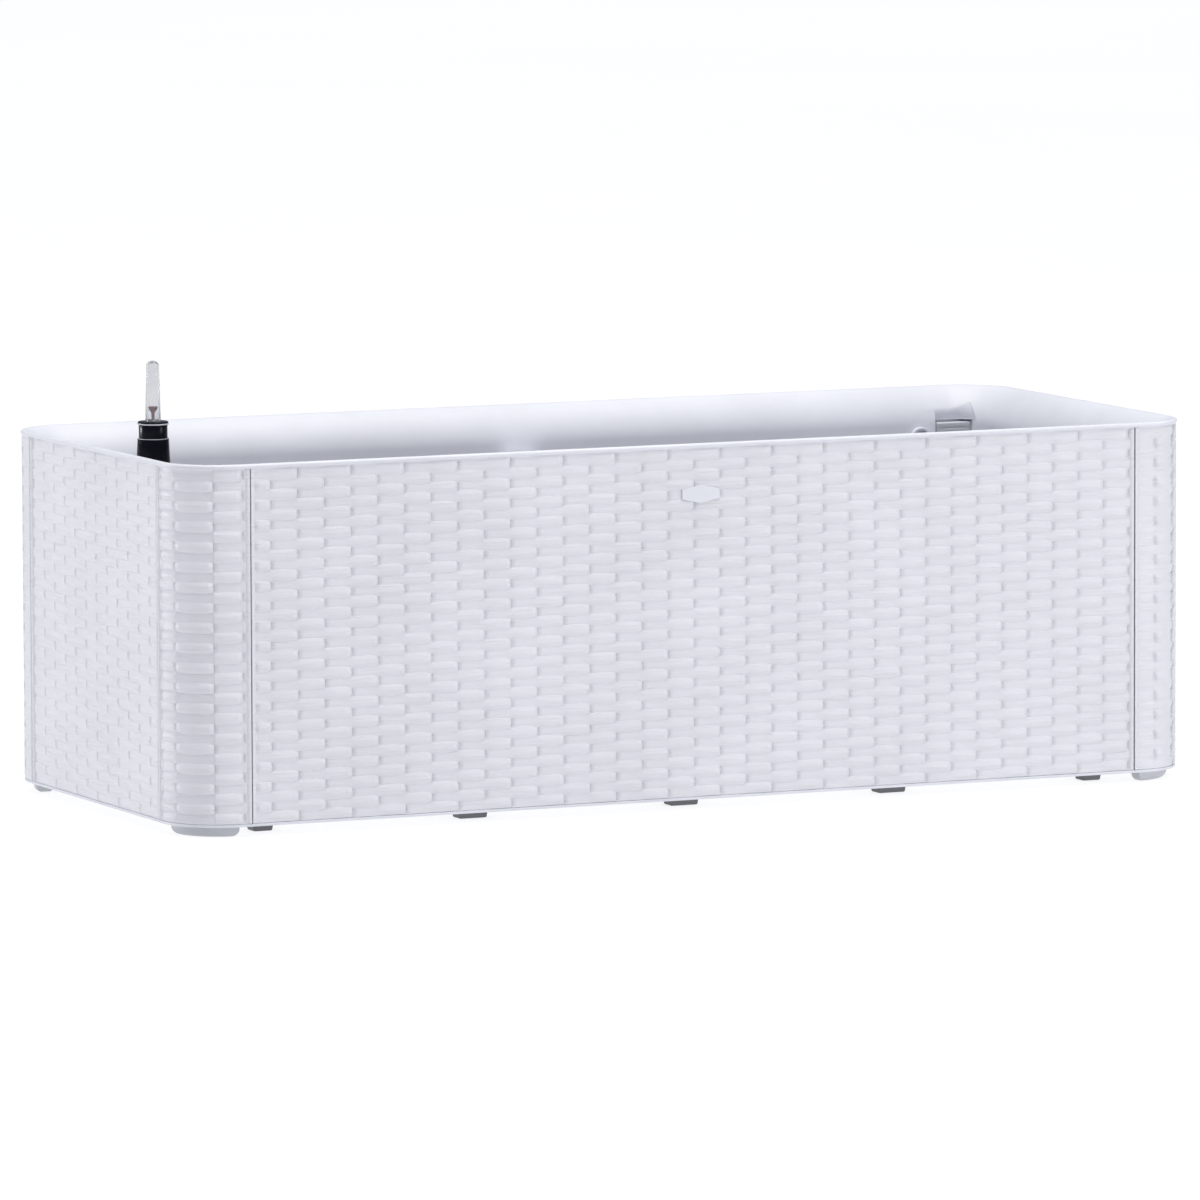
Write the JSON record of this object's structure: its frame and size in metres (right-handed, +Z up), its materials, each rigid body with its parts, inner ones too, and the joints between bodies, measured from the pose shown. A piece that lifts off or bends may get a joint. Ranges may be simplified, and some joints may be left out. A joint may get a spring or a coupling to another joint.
{
  "type": "self watering planter",
  "caption": "Long rectangular raised-bed planter with rattan-look cladding, a liner tub over a water reservoir, a lift-out false floor with wicks, and a float gauge.",
  "frame": {"origin": "on the ground under the middle of the planter", "axes": "+X along the length, away from the end with the float gauge; -Y towards the front with the badge plate; +Z up"},
  "size_m": [1, 0.43, 0.4045],
  "materials": {
    "woven_white": "satin moulded rattan weave",
    "white_plastic": "satin moulded",
    "grey_plastic": "satin moulded",
    "dark_foot_plastic": "matte moulded",
    "charcoal_plastic": "matte moulded",
    "wick_felt": "needled felt",
    "black_plastic": "gloss moulded",
    "clear_plastic": "clear moulded plastic",
    "red_plastic": "gloss moulded",
    "white_rod": "satin",
    "float_foam": "closed-cell foam",
    "black_rubber": "matte rubber"
  },
  "bodies": {
    "planter": {"front_panel": "woven_white", "back_panel": "woven_white", "left_panel": "woven_white", "right_panel": "woven_white", "corner_cover_front_left": "woven_white", "corner_cover_front_right": "woven_white", "corner_cover_back_left": "woven_white", "corner_cover_back_right": "woven_white", "base_tray": "white_plastic", "inner_tub": "white_plastic", "badge_plate": "white_plastic", "cross_brace": "white_plastic", "brace_bracket_front": "white_plastic", "brace_bracket_back": "white_plastic", "wall_grommet_front_left": "white_plastic", "wall_grommet_front_right": "white_plastic", "wall_grommet_back_left": "white_plastic", "wall_grommet_back_right": "white_plastic", "corner_foot_front_left": "grey_plastic", "corner_foot_front_right": "grey_plastic", "corner_foot_back_left": "grey_plastic", "corner_foot_back_right": "grey_plastic", "corner_lock_front_left": "grey_plastic", "corner_lock_front_right": "grey_plastic", "corner_lock_back_left": "grey_plastic", "corner_lock_back_right": "grey_plastic", "base_foot_front_1": "dark_foot_plastic", "base_foot_front_2": "dark_foot_plastic", "base_foot_front_3": "dark_foot_plastic", "base_foot_front_4": "dark_foot_plastic", "base_foot_front_5": "dark_foot_plastic", "base_foot_back_1": "dark_foot_plastic", "base_foot_back_2": "dark_foot_plastic", "base_foot_back_3": "dark_foot_plastic", "base_foot_back_4": "dark_foot_plastic", "base_foot_back_5": "dark_foot_plastic", "centre_bridge": "charcoal_plastic"},
    "grate_left": {"grate_left": "charcoal_plastic", "filler_tube": "black_plastic", "wick_left_1": "wick_felt", "wick_left_2": "wick_felt", "wick_left_3": "wick_felt", "wick_left_4": "wick_felt"},
    "grate_right": {"grate_right": "charcoal_plastic", "wick_right_1": "wick_felt", "wick_right_2": "wick_felt", "wick_right_3": "wick_felt", "wick_right_4": "wick_felt"},
    "gauge": {"gauge_collar": "black_plastic", "gauge_bezel": "black_plastic", "sight_tube": "clear_plastic"},
    "float": {"float": "float_foam", "float_rod": "white_rod", "indicator_head": "red_plastic"},
    "plug": {"overflow_plug": "grey_plastic", "plug_seal": "black_rubber"}
  },
  "joints": [
    {"name": "grate_left_lift", "type": "slide", "parent": "planter", "child": "grate_left", "axis": [0, 0, 1], "range_m": [0, 0.3]},
    {"name": "grate_right_lift", "type": "slide", "parent": "planter", "child": "grate_right", "axis": [0, 0, 1], "range_m": [0, 0.3]},
    {"name": "gauge_lift", "type": "slide", "parent": "grate_left", "child": "gauge", "axis": [0, 0, 1], "range_m": [0, 0.32]},
    {"name": "float_rise", "type": "slide", "parent": "gauge", "child": "float", "axis": [0, 0, 1], "range_m": [0, 0.036]},
    {"name": "plug_pull", "type": "slide", "parent": "planter", "child": "plug", "axis": [1, 0, 0], "range_m": [0, 0.045]}
  ]
}
